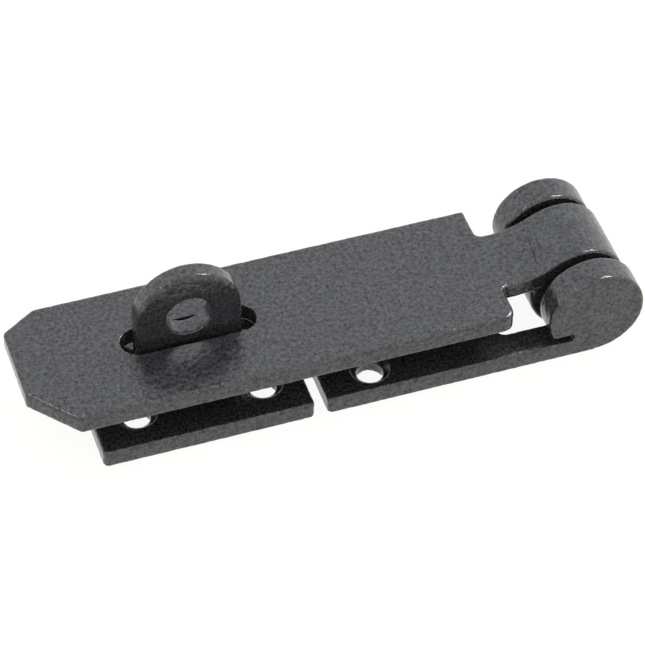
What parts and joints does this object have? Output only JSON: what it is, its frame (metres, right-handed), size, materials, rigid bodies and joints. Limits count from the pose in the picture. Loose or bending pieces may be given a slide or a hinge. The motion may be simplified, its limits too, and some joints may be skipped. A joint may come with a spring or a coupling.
{
  "type": "hasp and staple",
  "caption": "Heavy flat-bar hasp with a hinged slotted strap closed over an upright padlock staple, on two screw plates, in dark hammered paint.",
  "frame": {"origin": "middle of the closed hasp's outline in plan, on the fixing surface that both plates lie on", "axes": "+X along the strap towards the hinge pin, +Y across it, +Z out of the fixing surface"},
  "size_m": [0.12, 0.0302, 0.0308],
  "materials": {
    "hammered_paint": "semi-gloss hammered charcoal paint",
    "pin_steel": "dark oiled steel"
  },
  "bodies": {
    "fixed_leaf": {"hinge_plate": "hammered_paint", "hinge_pin": "pin_steel", "pin_cap_front": "hammered_paint", "pin_cap_back": "hammered_paint"},
    "strap": {"hasp_strap": "hammered_paint"},
    "staple": {"staple_plate": "hammered_paint", "staple_eye": "hammered_paint"}
  },
  "joints": [
    {"name": "strap_swing", "type": "hinge", "parent": "fixed_leaf", "child": "strap", "pos_m": [0.05035, 0, 0.00965], "axis": [0, 1, 0], "range_deg": [-3, 180]},
    {"name": "staple_drop", "type": "slide", "parent": "fixed_leaf", "child": "staple", "axis": [0, 0, -1], "range_m": [0, 0.025]}
  ]
}
